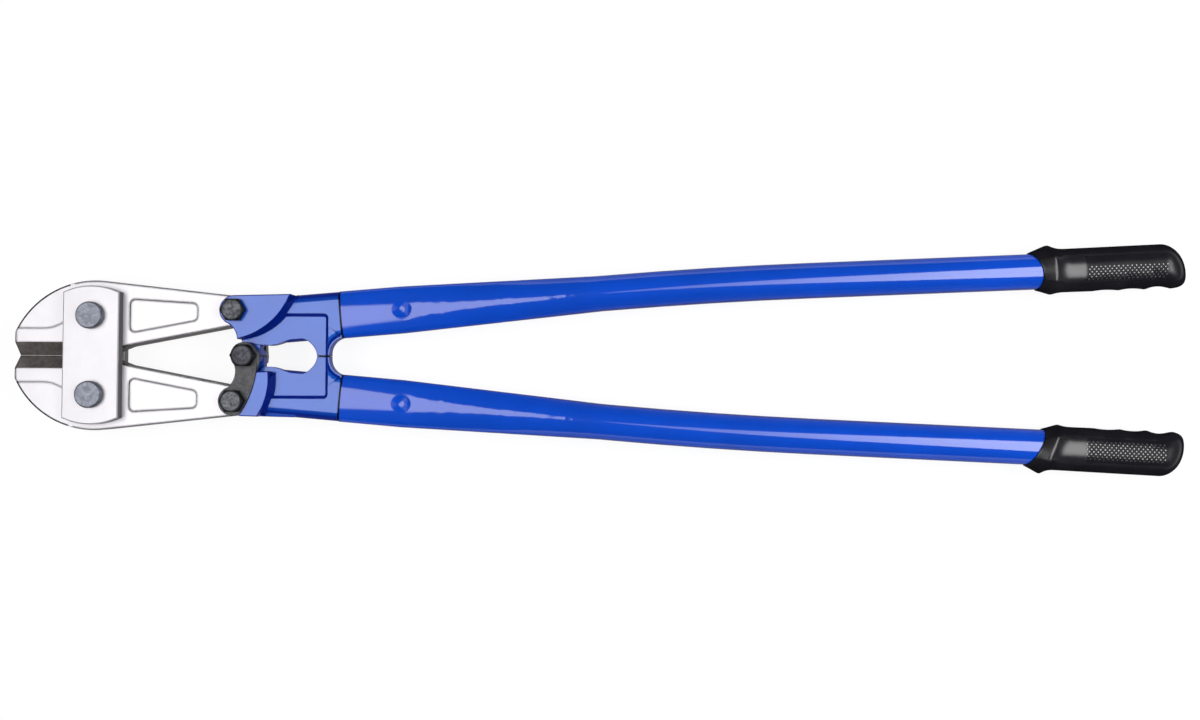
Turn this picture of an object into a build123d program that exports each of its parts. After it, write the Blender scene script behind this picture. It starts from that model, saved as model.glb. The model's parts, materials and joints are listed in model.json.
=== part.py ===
from build123d import *
from math import acos, atan2, cos, degrees, hypot, radians, sin, sqrt, tan
import os

# Bolt cutters, closed and lying flat. Lengths are in millimetres.
# Places along the tool run from the jaw tips, places across it from its midline,
# and heights from the middle of the jaws' thickness.

# Whole tool
overall_length = 1050.0

# Pivots
jaw_pivot_x = 71.5
jaw_pivot_y = 35.0
tail_pivot_x = 197.1
tail_pivot_y = 40.4
centre_pivot_x = 206.4

# Fits
flat_gap = 0.2
running_gap = 0.05
seat_gap = 0.1
swing_gap = 0.6
stop_gap = 0.15
toggle_slack = 3.9
cut_over = 2.0

# Jaws
jaw_thick = 22.0
nose_height = 21.6
crown_y = -11.8
crown_radius = 78.7
tail_radius = 13.0
heel_x = 99.0
heel_y = 8.3
roll_angle = 21.0
edge_gap = 0.1
edge_land = 0.5
bevel_width = 11.4
bevel_hidden = 12.0
jaw_chamfer = 0.7
step_depth = 0.7
step_y = 24.0
step_run = 25.0
step_rise = 8.5
step_hidden = 4.0
panel_front_x = 102.0
panel_rear_x = 162.5
panel_outer_front = 13.6
panel_outer_rear = 10.7
panel_inner = 11.0
panel_round = 4.5
panel_depth = 1.0

# Side plates
plate_front_x = 46.2
plate_width = 49.8
plate_length = 123.0
plate_shoulder = 111.6
plate_thick = 9.6
plate_chamfer = 1.0
rear_plate_short = 7.0

# Jaw bolts
jaw_bolt = 16.0
jaw_head = 24.0
jaw_head_height = 6.0
jaw_head_chamfer = 1.2
jaw_washer = 30.0
jaw_washer_thick = 2.5
jaw_nut = 24.0
jaw_nut_height = 10.0
bolt_proud = 1.5
thread_chamfer = 1.0

# Tail and centre bolts
link_bolt = 12.0
link_head = 19.0
link_head_height = 7.0
link_washer = 20.0
link_washer_thick = 2.0
link_nut = 18.0
link_nut_height = 8.0
nut_turn = 30.0
corner_slope = 30.0

# Ears and links
ear_thick = 7.5
ear_radius = 13.2
ear_low_angle = 250.0
ear_hollow = 1.8
ear_foot_x = 200.0
ear_foot_y = 14.6
ear_arc_x = 230.5
ear_arc_y = 30.5
ear_end_x = 247.0
ear_chamfer = 0.8
ear_shoulder = 4.0
link_end = 12.0
link_pocket = 0.4
link_lean = 15.0
link_tuck = 65.0
link_waist_low = 110.0
link_waist_top = 225.0
link_bulge_x = 214.9
link_bulge_y = 26.0
link_waist_x = 198.4
link_waist_y = 18.0

# Knuckles
knuckle_web = 11.5
bar_corner = 4.0
lug_radius = 12.2
core_front_x = 200.0
core_foot_y = 15.0
pad_arc_low_x = 228.0
pad_arc_low_y = 13.9
pad_arc_mid_x = 227.6
pad_arc_mid_y = 31.0
pad_arc_high_x = 218.5
pad_shoulder = 3.0
shoulder_bite = 0.6
handle_travel = 52.5
travel_margin = 1.5
throat_start_x = 218.8
throat_start_y = 9.9
throat_round = 2.5
throat_mid_x = 237.4
throat_mid_y = 12.3
throat_top_x = 253.0
throat_top_y = 16.2
throat_end_x = 265.0
throat_end_y = 8.6
stop_front_x = 268.2
stop_rear_x = 279.6
stop_height = 2.3
crook_round = 7.5
recess_y = 35.4
recess_x = 275.9
recess_round = 1.5
recess_slope = 45.0
seam_step = 0.4
seam_sink = 0.2
tang_short = 4.0

# Tubes
tube_d = 32.2
tube_wall = 2.5
seam_x = 289.2
seam_y = 37.5
root_angle = 4.95
grip_angle = 2.5
flat_width = 42.6
flat_thick = 17.6
flat_corner = 16.0
round_corner = 45.0
flat_run = 56.0
taper_run = 178.0
bend_lead = 10.0
bend_radius = 4200.0
dimple_run = 55.0
dimple_d = 17.0
dimple_depth = 1.8

# Grips
grip_length = 142.0
grip_end_wall = 5.0
lip_half = 19.2
ridge_run = 17.0
ridge_half = 22.6
neck_run = 27.0
neck_half = 19.8
butt_half = 20.7
grip_thick = 37.0
ridge_thick = 42.0
grip_corner = 34.0
front_slant = 12.0
collar_lean = 9.0
saddle_depth = 16.0
groove_first = 70.0
groove_pitch = 23.5
groove_depths = (1.0, 1.5, 2.8)
groove_half = 11.5
butt_slant = 25.0
butt_round = 9.0

# Heights of the stacked layers
jaw_face = jaw_thick / 2
layer = jaw_face + flat_gap
plate_out = layer + plate_thick
ear_out = layer + ear_thick
rest_height = plate_out + jaw_washer_thick + jaw_nut_height + bolt_proud

datum = Plane(origin=(-overall_length / 2, 0, rest_height))
jaw_pivot = (jaw_pivot_x, jaw_pivot_y)
tail_pivot = (tail_pivot_x, tail_pivot_y)
centre_pivot = (centre_pivot_x, 0)
flip_axis = Axis(datum.origin, (1, 0, 0))


def level(height):
    return datum.offset(height)


def on_circle(centre, radius, angle):
    return (centre[0] + radius * cos(radians(angle)), centre[1] + radius * sin(radians(angle)))


def bearing(start, end):
    return degrees(atan2(end[1] - start[1], end[0] - start[0]))


# Angle, about the circle's centre, where a line from the point touches the circle
def touch_angle(point, centre, radius, side):
    reach = hypot(point[0] - centre[0], point[1] - centre[1])
    return bearing(centre, point) + side * degrees(acos(radius / reach))


def line_at(start, end, x):
    return start[1] + (end[1] - start[1]) * (x - start[0]) / (end[0] - start[0])


# Plane square to the handle, with its first direction pointing away from the midline
def across(point, angle):
    turn = radians(angle)
    origin = datum.from_local_coords((point[0], point[1], 0))
    return Plane(origin=origin, x_dir=(-sin(turn), cos(turn), 0), z_dir=(cos(turn), sin(turn), 0))


# Flattened tube section of four arcs that run into each other
def oval(half_width, half_thick, corner):
    lean = radians(corner)
    shift = (half_width - half_thick) / (sin(lean) + cos(lean) - 1)
    side = half_width - shift * sin(lean)
    face = side + shift
    with BuildLine() as ring:
        CenterArc((half_width - side, 0), side, corner - 90, 180 - 2 * corner)
        CenterArc((0, half_thick - face), face, 90 - corner, 2 * corner)
        CenterArc((side - half_width, 0), side, 90 + corner, 180 - 2 * corner)
        CenterArc((0, face - half_thick), face, 270 - corner, 2 * corner)
    make_face(ring.edges())


os.makedirs("parts", exist_ok=True)


def save(piece, name):
    piece.part.label = name
    export_step(piece.part, f"parts/{name}.step")


def save_mirrored(piece, name):
    with BuildPart() as other:
        mirror(piece.part, about=Plane.XZ)
    save(other, name)


# Jaws
crown = (sqrt(crown_radius**2 - (nose_height - crown_y) ** 2), crown_y)
heel = (heel_x, heel_y)
roll_radius = jaw_pivot_y - edge_gap
spread = (crown_radius - tail_radius) / hypot(tail_pivot_x - crown[0], tail_pivot_y - crown_y)
outer_normal = bearing(crown, tail_pivot) + degrees(acos(spread))
inner_normal = touch_angle(heel, tail_pivot, tail_radius, 1) - 360
crown_end = on_circle(crown, crown_radius, outer_normal)
tail_top = on_circle(tail_pivot, tail_radius, outer_normal)
tail_low = on_circle(tail_pivot, tail_radius, inner_normal)
nose_top = (0, nose_height)
nose_angle = bearing(crown, nose_top)
bevel_end = plate_front_x + bevel_hidden
step_end = plate_front_x + step_hidden

with BuildPart() as upper_jaw:
    with BuildSketch(level(-jaw_face)):
        with BuildLine():
            Line((0, edge_gap), (jaw_pivot_x, edge_gap))
            CenterArc(jaw_pivot, roll_radius, -90, roll_angle)
            Line(on_circle(jaw_pivot, roll_radius, roll_angle - 90), heel)
            Line(heel, tail_low)
            CenterArc(tail_pivot, tail_radius, inner_normal, outer_normal - inner_normal)
            Line(tail_top, crown_end)
            CenterArc(crown, crown_radius, outer_normal, nose_angle - outer_normal)
            Line(nose_top, (0, edge_gap))
        make_face()
    extrude(amount=jaw_thick)
    for face in (upper_jaw.faces().sort_by(Axis.Z)[0], upper_jaw.faces().sort_by(Axis.Z)[-1]):
        rims = face.edges().filter_by(lambda edge: edge.center().Y > heel_y and edge.length > nose_height)
        chamfer(rims, jaw_chamfer)
    with BuildSketch(level(-jaw_face)):
        with Locations(jaw_pivot):
            Circle(jaw_bolt / 2 + running_gap)
        with Locations(tail_pivot):
            Circle(link_bolt / 2 + running_gap)
    extrude(amount=jaw_thick, mode=Mode.SUBTRACT)
    # Ground bevels that leave a narrow land at the cutting edge
    with BuildSketch(across((0, 0), 0)):
        Polygon(
            (edge_gap - cut_over, edge_land / 2),
            (edge_gap, edge_land / 2),
            (edge_gap + bevel_width, jaw_face),
            (edge_gap + bevel_width, jaw_face + cut_over),
            (edge_gap - cut_over, jaw_face + cut_over),
            align=None,
        )
        mirror(about=Plane.XZ)
    extrude(amount=bevel_end, mode=Mode.SUBTRACT)
    for side in (-1, 1):
        # Step beside the blade, which curves out under the side plate
        with BuildSketch(level(side * (jaw_face - step_depth))):
            with BuildLine():
                Line((-cut_over, step_y), (step_run, step_y))
                TangentArc((step_run, step_y), (step_end, step_y + step_rise + step_hidden), tangent=(1, 0))
                Polyline(
                    (step_end, step_y + step_rise + step_hidden),
                    (step_end, crown_radius),
                    (-cut_over, crown_radius),
                    (-cut_over, step_y),
                )
            make_face()
        extrude(amount=side * (step_depth + cut_over), mode=Mode.SUBTRACT)
        # Shallow panel on the tail
        with BuildSketch(level(side * (jaw_face - panel_depth))) as panel:
            Polygon(
                (panel_front_x, line_at(crown_end, tail_top, panel_front_x) - panel_outer_front),
                (panel_front_x, line_at(heel, tail_low, panel_front_x) + panel_inner),
                (panel_rear_x, line_at(heel, tail_low, panel_rear_x) + panel_inner),
                (panel_rear_x, line_at(crown_end, tail_top, panel_rear_x) - panel_outer_rear),
                align=None,
            )
            fillet(panel.vertices(), panel_round)
        extrude(amount=side * (panel_depth + cut_over), mode=Mode.SUBTRACT)
save(upper_jaw, "upper_jaw")
save_mirrored(upper_jaw, "lower_jaw")

# Side plates
def side_plate(name, side, width):
    rear_x = plate_front_x + width
    mid_x = plate_front_x + width / 2
    with BuildPart() as plate:
        with BuildSketch(level(side * layer)):
            with BuildLine():
                Line((plate_front_x, plate_shoulder / 2), (plate_front_x, -plate_shoulder / 2))
                ThreePointArc(
                    (plate_front_x, -plate_shoulder / 2),
                    (mid_x, -plate_length / 2),
                    (rear_x, -plate_shoulder / 2),
                )
                Line((rear_x, -plate_shoulder / 2), (rear_x, plate_shoulder / 2))
                ThreePointArc(
                    (rear_x, plate_shoulder / 2),
                    (mid_x, plate_length / 2),
                    (plate_front_x, plate_shoulder / 2),
                )
            make_face()
        extrude(amount=side * plate_thick)
        chamfer(plate.faces().sort_by(Axis.Z)[-1 if side > 0 else 0].edges(), plate_chamfer)
        with BuildSketch(level(side * layer)):
            with Locations(jaw_pivot, (jaw_pivot_x, -jaw_pivot_y)):
                Circle(jaw_bolt / 2 + running_gap)
        extrude(amount=side * plate_thick, mode=Mode.SUBTRACT)
    save(plate, name)


side_plate("front_plate", 1, plate_width)
side_plate("rear_plate", -1, plate_width - rear_plate_short)


# Cuts the corners of a hexagon back to a cone, on the face at the given height
def turn_corners(centre, across_flats, height, side):
    flat = across_flats / 2
    reach = across_flats
    drop = (reach - flat) * tan(radians(corner_slope))
    origin = datum.from_local_coords((centre[0], centre[1], height))
    with BuildSketch(Plane(origin=origin, x_dir=(1, 0, 0), z_dir=(0, -1, 0))) as corner:
        Polygon((flat, 0), (reach, 0), (reach, -side * drop), align=None)
    revolve(corner.sketch, axis=Axis(origin, (0, 0, 1)), mode=Mode.SUBTRACT)


def washer(name, centre, bolt, width, top, thick):
    with BuildPart() as ring:
        with BuildSketch(level(top)):
            with Locations(centre):
                Circle(width / 2)
                Circle(bolt / 2 + seat_gap, mode=Mode.SUBTRACT)
        extrude(amount=-thick)
    save(ring, name)


def nut(name, centre, bolt, across_flats, top, height):
    with BuildPart() as block:
        with BuildSketch(level(top)):
            with Locations(centre):
                RegularPolygon(across_flats / 2, 6, major_radius=False, rotation=nut_turn)
        extrude(amount=-height)
        turn_corners(centre, across_flats, top, 1)
        turn_corners(centre, across_flats, top - height, -1)
        with BuildSketch(level(top)):
            with Locations(centre):
                Circle(bolt / 2 + seat_gap)
        extrude(amount=-height, mode=Mode.SUBTRACT)
    save(block, name)


def shank(bolt_part, centre, diameter, top, bottom):
    with BuildSketch(level(top)) as section:
        with Locations(centre):
            Circle(diameter / 2)
    extrude(section.sketch, amount=bottom - top)
    chamfer(bolt_part.faces().sort_by(Axis.Z)[0].edges(), thread_chamfer)


# Jaw bolts
def jaw_pivot_set(name, centre):
    nut_top = -plate_out - jaw_washer_thick
    with BuildPart() as bolt:
        with BuildSketch(level(plate_out)):
            with Locations(centre):
                Circle(jaw_head / 2)
        extrude(amount=jaw_head_height)
        chamfer(bolt.faces().sort_by(Axis.Z)[-1].edges(), jaw_head_chamfer)
        shank(bolt, centre, jaw_bolt, plate_out, nut_top - jaw_nut_height - bolt_proud)
    save(bolt, f"{name}_bolt")
    washer(f"{name}_washer", centre, jaw_bolt, jaw_washer, -plate_out, jaw_washer_thick)
    nut(f"{name}_nut", centre, jaw_bolt, jaw_nut, nut_top, jaw_nut_height)


jaw_pivot_set("upper_jaw", jaw_pivot)
jaw_pivot_set("lower_jaw", (jaw_pivot_x, -jaw_pivot_y))


# Tail and centre bolts
def link_pivot_set(name, centre):
    nut_top = -ear_out - flat_gap - link_washer_thick
    with BuildPart() as bolt:
        with BuildSketch(level(ear_out + flat_gap)):
            with Locations(centre):
                RegularPolygon(link_head / 2, 6, major_radius=False)
        extrude(amount=link_head_height)
        turn_corners(centre, link_head, ear_out + flat_gap + link_head_height, 1)
        shank(bolt, centre, link_bolt, ear_out + flat_gap, nut_top - link_nut_height - bolt_proud)
    save(bolt, f"{name}_bolt")
    washer(f"{name}_washer", centre, link_bolt, link_washer, -ear_out - flat_gap, link_washer_thick)
    nut(f"{name}_nut", centre, link_bolt, link_nut, nut_top, link_nut_height)


link_pivot_set("upper_tail", tail_pivot)
link_pivot_set("lower_tail", (tail_pivot_x, -tail_pivot_y))
link_pivot_set("centre", centre_pivot)


# Links, curved straps from a jaw tail to the centre bolt
def link(name, flip, centre_hole):
    low_tail = (tail_pivot_x, -tail_pivot_y)
    bulge = (link_bulge_x, -link_bulge_y)
    waist = (link_waist_x, -link_waist_y)
    outer_top = on_circle(centre_pivot, link_end, -link_lean)
    outer_low = on_circle(low_tail, ear_radius, -link_tuck)
    inner_top = on_circle(centre_pivot, link_end, link_waist_top)
    inner_low = on_circle(low_tail, ear_radius, link_waist_low)
    end_top = on_circle(centre_pivot, link_end, (link_waist_top - link_lean) / 2)
    end_low = on_circle(low_tail, ear_radius, (link_waist_low - link_tuck) / 2 + 180)
    with BuildPart() as strap:
        with BuildSketch(level(layer)):
            with BuildLine():
                ThreePointArc(outer_top, bulge, outer_low)
                ThreePointArc(outer_low, end_low, inner_low)
                ThreePointArc(inner_low, waist, inner_top)
                ThreePointArc(inner_top, end_top, outer_top)
            make_face()
        extrude(amount=ear_thick)
        with BuildSketch(level(layer)):
            with Locations(low_tail):
                Circle(link_bolt / 2 + running_gap)
            with Locations(centre_pivot):
                Circle(centre_hole)
        extrude(amount=ear_thick, mode=Mode.SUBTRACT)
    if flip:
        with BuildPart() as turned:
            add(strap.part.rotate(flip_axis, 180))
        strap = turned
    save(strap, name)


loose_hole = link_bolt / 2 + toggle_slack
link("front_link", False, link_bolt / 2 + running_gap)
link("rear_link", True, loose_hole)

# Knuckles
seam = (seam_x, seam_y)
bar_half_width = flat_width / 2 - seam_step
bar_half_thick = flat_thick / 2 - seam_sink
tang_inset = tube_wall + seat_gap
outer_edge = on_circle(seam, bar_half_width, root_angle + 90)
inner_edge = on_circle(seam, bar_half_width, root_angle - 90)
ear_slope = tan(radians(root_angle))
ear_end = (ear_end_x, outer_edge[1] - ear_slope * (outer_edge[0] - ear_end_x))
ear_foot = (ear_foot_x, ear_foot_y)
ear_top_angle = touch_angle(ear_end, tail_pivot, ear_radius, 1)
ear_top = on_circle(tail_pivot, ear_radius, ear_top_angle)
ear_low = on_circle(tail_pivot, ear_radius, ear_low_angle)
ear_back = on_circle(tail_pivot, ear_radius, (ear_top_angle + ear_low_angle) / 2)
ear_mid = ((ear_low[0] + ear_foot_x) / 2, (ear_low[1] + ear_foot_y) / 2)
ear_inside = on_circle(ear_mid, ear_hollow, bearing(ear_low, ear_foot) + 90)
ear_heart = ((tail_pivot_x + ear_arc_x) / 2, (tail_pivot_y + ear_arc_y) / 2)
ear_skirt_mid = on_circle((ear_arc_x, ear_arc_y), ear_shoulder, bearing(ear_heart, (ear_arc_x, ear_arc_y)))
ear_skirt_end = (ear_end_x + ear_shoulder, ear_end[1] + ear_slope * ear_shoulder)
pad_high = (pad_arc_high_x, line_at(ear_top, ear_end, pad_arc_high_x))
pad_heart = ((core_front_x + pad_arc_mid_x) / 2, pad_arc_mid_y)
shoulder_height = ear_out - ear_chamfer - knuckle_web / 2
core_top = (core_front_x, line_at(ear_top, ear_end, core_front_x))
swing_radius = tail_radius + swing_gap
swing_angle = outer_normal - handle_travel - travel_margin
swing_edge = on_circle(tail_pivot, swing_radius, swing_angle)
swing_far = on_circle(swing_edge, jaw_pivot_x, swing_angle + 90)
swing_low = on_circle(tail_pivot, swing_radius, inner_normal)
swing_low_far = on_circle(swing_low, jaw_pivot_x, inner_normal - 90)
crook_start = (stop_rear_x, stop_height)
throat_start = (throat_start_x + throat_round, throat_start_y)
crook_drop = 2 * crook_round
recess_depth = bar_half_thick - knuckle_web / 2
pocket_low = on_circle(centre_pivot, link_end + link_pocket, link_lean)
pocket_high = on_circle(tail_pivot, ear_radius + link_pocket, link_tuck)

with BuildPart() as upper_knuckle:
    # Collar round the crook, eased where it meets the tube and cut off at the stop pad
    with BuildSketch(level(-bar_half_thick)):
        with BuildLine():
            Polyline(
                inner_edge,
                (stop_front_x, recess_y),
                (stop_front_x, -crook_drop),
                (stop_rear_x, -crook_drop),
                crook_start,
            )
            TangentArc(crook_start, inner_edge, tangent=(0, 1))
        make_face()
    extrude(amount=2 * bar_half_thick)
    rims = upper_knuckle.edges().filter_by(Plane.XY)
    fillet(rims.filter_by(GeomType.CIRCLE) + rims.filter_by(Axis.Y).sort_by(Axis.X)[2:], crook_round)
    with BuildSketch(level(-bar_half_thick)):
        Polygon(
            (stop_front_x, stop_gap),
            (stop_front_x, -crook_drop),
            (stop_rear_x, -crook_drop),
            (stop_rear_x, stop_gap),
            align=None,
        )
    extrude(amount=2 * bar_half_thick, mode=Mode.SUBTRACT)
    # Rounded bar that carries on the line of the tube
    with BuildSketch(across(seam, root_angle)):
        oval(bar_half_width, bar_half_thick, bar_corner)
    extrude(amount=-(seam_x - pad_arc_high_x))
    with BuildSketch(level(knuckle_web / 2)) as recess:
        Polygon(
            (core_front_x, -cut_over),
            (recess_x, -cut_over),
            (recess_x, recess_y),
            (core_front_x, recess_y),
            align=None,
        )
        fillet(recess.vertices().group_by(Axis.Y)[-1].sort_by(Axis.X)[-1], recess_round)
    extrude(amount=recess_depth + cut_over, taper=-recess_slope, mode=Mode.SUBTRACT)
    mirror(about=level(0), mode=Mode.INTERSECT)
    # Web with the throat above and the stop pad at the midline
    with BuildSketch(level(-knuckle_web / 2)):
        with BuildLine():
            Polyline(centre_pivot, (throat_start_x, 0), (throat_start_x, throat_start_y - throat_round))
            TangentArc((throat_start_x, throat_start_y - throat_round), throat_start, tangent=(0, 1))
            Spline(
                throat_start,
                (throat_mid_x, throat_mid_y),
                (throat_top_x, throat_top_y),
                (throat_end_x, throat_end_y),
                (stop_front_x, stop_gap),
            )
            Polyline((stop_front_x, stop_gap), (stop_rear_x, stop_gap), crook_start)
            TangentArc(crook_start, inner_edge, tangent=(0, 1))
            Polyline(inner_edge, seam, ear_end, core_top, (core_front_x, core_foot_y), centre_pivot)
        make_face()
    extrude(amount=knuckle_web)
    # Ear in front, with its wall down to the web
    with BuildSketch(level(0)):
        with BuildLine():
            ThreePointArc(ear_low, ear_inside, ear_foot)
            ThreePointArc(ear_foot, (ear_arc_x, ear_arc_y), ear_end)
            Line(ear_end, ear_top)
            ThreePointArc(ear_top, ear_back, ear_low)
        make_face()
    extrude(amount=ear_out - ear_chamfer)
    extrude(upper_knuckle.faces().sort_by(Axis.Z)[-1], amount=ear_chamfer, taper=45)
    # Sloped shoulder from the ear down to the web
    with BuildSketch(level(knuckle_web / 2)):
        with BuildLine():
            ThreePointArc(ear_foot, ear_skirt_mid, ear_skirt_end)
            Polyline(ear_skirt_end, ear_heart, ear_foot)
        make_face()
    extrude(amount=shoulder_height, taper=degrees(atan2(ear_shoulder + shoulder_bite, shoulder_height)))
    # Pad behind, as high as the rear link
    with BuildSketch(level(0)):
        with BuildLine():
            ThreePointArc((pad_arc_low_x, pad_arc_low_y), (pad_arc_mid_x, pad_arc_mid_y), pad_high)
            Polyline(pad_high, core_top, (core_front_x, core_foot_y), (pad_arc_low_x, pad_arc_low_y))
        make_face()
    extrude(amount=-ear_out)
    chamfer(upper_knuckle.faces().sort_by(Axis.Z)[0].edges(), ear_chamfer)
    # Sloped shoulder from the pad to the web
    with BuildSketch(level(-knuckle_web / 2)):
        with BuildLine():
            ThreePointArc(
                (pad_arc_low_x + pad_shoulder, pad_arc_low_y),
                (pad_arc_mid_x + pad_shoulder, pad_arc_mid_y),
                (pad_arc_high_x + pad_shoulder, pad_high[1]),
            )
            Polyline(
                (pad_arc_high_x + pad_shoulder, pad_high[1]),
                pad_heart,
                (pad_arc_low_x + pad_shoulder, pad_arc_low_y),
            )
        make_face()
    extrude(amount=-shoulder_height, taper=degrees(atan2(pad_shoulder + shoulder_bite, shoulder_height)))
    # Pocket that the rear link turns in
    with BuildSketch(level(-ear_out)):
        with BuildLine():
            ThreePointArc(pocket_low, (link_bulge_x + link_pocket, link_bulge_y), pocket_high)
            Polyline(
                pocket_high,
                (pocket_high[0], pocket_high[1] + ear_radius),
                (core_front_x - ear_radius, pocket_high[1] + ear_radius),
                (core_front_x - ear_radius, pocket_low[1]),
                pocket_low,
            )
        make_face()
    extrude(amount=ear_thick + flat_gap, mode=Mode.SUBTRACT)
    # Room for the jaw tail, through its whole swing
    with BuildSketch(level(-layer)):
        with Locations(tail_pivot):
            Circle(swing_radius)
        Polygon(
            tail_pivot,
            swing_edge,
            swing_far,
            (swing_low_far[0], swing_far[1]),
            swing_low_far,
            swing_low,
            align=None,
        )
    extrude(amount=2 * layer, mode=Mode.SUBTRACT)
    # Room for the other knuckle's lug
    with BuildSketch(level(flat_gap / 2)):
        with Locations(centre_pivot):
            Circle(lug_radius + toggle_slack)
    extrude(amount=-layer - flat_gap / 2, mode=Mode.SUBTRACT)
    with BuildSketch(level(flat_gap / 2)):
        with Locations(centre_pivot):
            Circle(lug_radius)
        with Locations(((centre_pivot_x + throat_start_x) / 2, throat_start_y / 2)):
            Rectangle(throat_start_x - centre_pivot_x, throat_start_y)
    extrude(amount=jaw_face - flat_gap / 2)
    # Bolt holes
    with BuildSketch(level(0)):
        with Locations(centre_pivot):
            Circle(loose_hole)
    extrude(amount=ear_out, mode=Mode.SUBTRACT)
    with BuildSketch(level(layer)):
        with Locations(tail_pivot):
            Circle(link_bolt / 2 + running_gap)
    extrude(amount=ear_thick, mode=Mode.SUBTRACT)
    # Tang that fills the flat end of the tube
    with BuildSketch(across(seam, root_angle)):
        oval(flat_width / 2 - tang_inset, flat_thick / 2 - tang_inset, flat_corner)
    extrude(amount=flat_run - tang_short)
save(upper_knuckle, "upper_knuckle")

with BuildPart() as lower_knuckle:
    add(upper_knuckle.part.rotate(flip_axis, 180))
save(lower_knuckle, "lower_knuckle")

# Tubes
taper_start = on_circle(seam, flat_run, root_angle)
taper_end = on_circle(seam, flat_run + taper_run, root_angle)
bend_reach = bend_radius * tan(radians((root_angle - grip_angle) / 2))
bend = on_circle(taper_end, bend_lead + bend_reach, root_angle)
grip_turn = radians(grip_angle)
grip_run = (overall_length - bend[0] - butt_half * sin(grip_turn)) / cos(grip_turn) - grip_length
grip_front = on_circle(bend, grip_run, grip_angle)
butt_lean = butt_half * tan(radians(butt_slant))
grip_bore = grip_length - 2 * butt_lean - grip_end_wall
tube_end = on_circle(grip_front, grip_bore, grip_angle)
dimple = on_circle(seam, dimple_run, root_angle)
dimple_radius = ((dimple_d / 2) ** 2 + dimple_depth**2) / (2 * dimple_depth)


def tube_form(inset, mode):
    with BuildSketch(across(seam, root_angle)) as mouth:
        oval(flat_width / 2 - inset, flat_thick / 2 - inset, flat_corner)
    extrude(mouth.sketch, amount=flat_run, mode=mode)
    with BuildSketch(across(taper_start, root_angle)) as flat_section:
        oval(flat_width / 2 - inset, flat_thick / 2 - inset, flat_corner)
    with BuildSketch(across(taper_end, root_angle)) as round_section:
        oval(tube_d / 2 - inset, tube_d / 2 - inset, round_corner)
    loft([flat_section.sketch, round_section.sketch], mode=mode)
    with BuildLine(datum) as run:
        FilletPolyline(taper_end, bend, tube_end, radius=bend_radius)
    sweep(round_section.sketch, path=run.line, mode=mode)


with BuildPart() as upper_tube:
    tube_form(0, Mode.ADD)
    tube_form(tube_wall, Mode.SUBTRACT)
    for side in (-1, 1):
        dent = side * (flat_thick / 2 - dimple_depth + dimple_radius)
        with Locations(datum.from_local_coords((dimple[0], dimple[1], dent))):
            Sphere(dimple_radius, mode=Mode.SUBTRACT)
save(upper_tube, "upper_tube")
save_mirrored(upper_tube, "lower_tube")

# Grips
grip_origin = datum.from_local_coords((grip_front[0], grip_front[1], 0))
grip_top = Plane(origin=grip_origin, x_dir=(cos(grip_turn), sin(grip_turn), 0), z_dir=(0, 0, 1))
grip_side = grip_top.rotated((90, 0, 0))
# The corner before rounding, placed so that the rounded butt ends at the grip's length
butt_corner = grip_length + butt_round * (tan(radians(butt_slant)) + 1 / cos(radians(butt_slant)) - 1)
stations = (
    (0, lip_half, lip_half, 0),
    (ridge_run, ridge_half, ridge_thick / 2, collar_lean),
    (neck_run, neck_half, grip_thick / 2, collar_lean),
    (grip_length + ridge_run, butt_half, grip_thick / 2, 0),
)

with BuildPart() as upper_grip:
    for run, half_width, half_thick, lean in stations:
        with BuildSketch(across(on_circle(grip_front, run, grip_angle), grip_angle + lean)):
            oval(half_width, half_thick, grip_corner)
    loft(ruled=True)
    # Slanted butt, longer on the side of the midline
    with BuildSketch(grip_top.offset(-ridge_thick)):
        Polygon(
            (butt_corner - 3 * butt_lean, 2 * butt_half),
            (butt_corner + butt_lean, -2 * butt_half),
            (butt_corner + 2 * ridge_run, -2 * butt_half),
            (butt_corner + 2 * ridge_run, 2 * butt_half),
            align=None,
        )
    extrude(amount=2 * ridge_thick, mode=Mode.SUBTRACT)
    fillet(upper_grip.faces().sort_by(Axis.X)[-1].edges(), butt_round)
    # Finger grooves towards the midline
    with BuildSketch(grip_top.offset(-ridge_thick)):
        for number, depth in enumerate(groove_depths):
            groove_radius = (groove_half**2 + depth**2) / (2 * depth)
            with Locations((groove_first + number * groove_pitch, depth - neck_half - groove_radius)):
                Circle(groove_radius)
    extrude(amount=2 * ridge_thick, mode=Mode.SUBTRACT)
    # Saddle-shaped front edge
    with BuildSketch(grip_side.offset(-2 * ridge_half)):
        with BuildLine():
            ThreePointArc((saddle_depth, ridge_half), (0, 0), (saddle_depth, -ridge_half))
            Polyline(
                (saddle_depth, -ridge_half),
                (-ridge_run, -ridge_half),
                (-ridge_run, ridge_half),
                (saddle_depth, ridge_half),
            )
        make_face()
    extrude(amount=4 * ridge_half, mode=Mode.SUBTRACT)
    # Front edge slanted back towards the midline
    with BuildSketch(grip_top.offset(-ridge_thick)):
        Polygon(
            (0, lip_half),
            (-ridge_run, lip_half),
            (-ridge_run, -2 * lip_half),
            (1.5 * front_slant, -2 * lip_half),
            align=None,
        )
    extrude(amount=2 * ridge_thick, mode=Mode.SUBTRACT)
    with BuildSketch(across(grip_front, grip_angle)):
        Circle(tube_d / 2 + seat_gap)
    extrude(amount=grip_bore, mode=Mode.SUBTRACT)
save(upper_grip, "upper_grip")
save_mirrored(upper_grip, "lower_grip")
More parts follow.
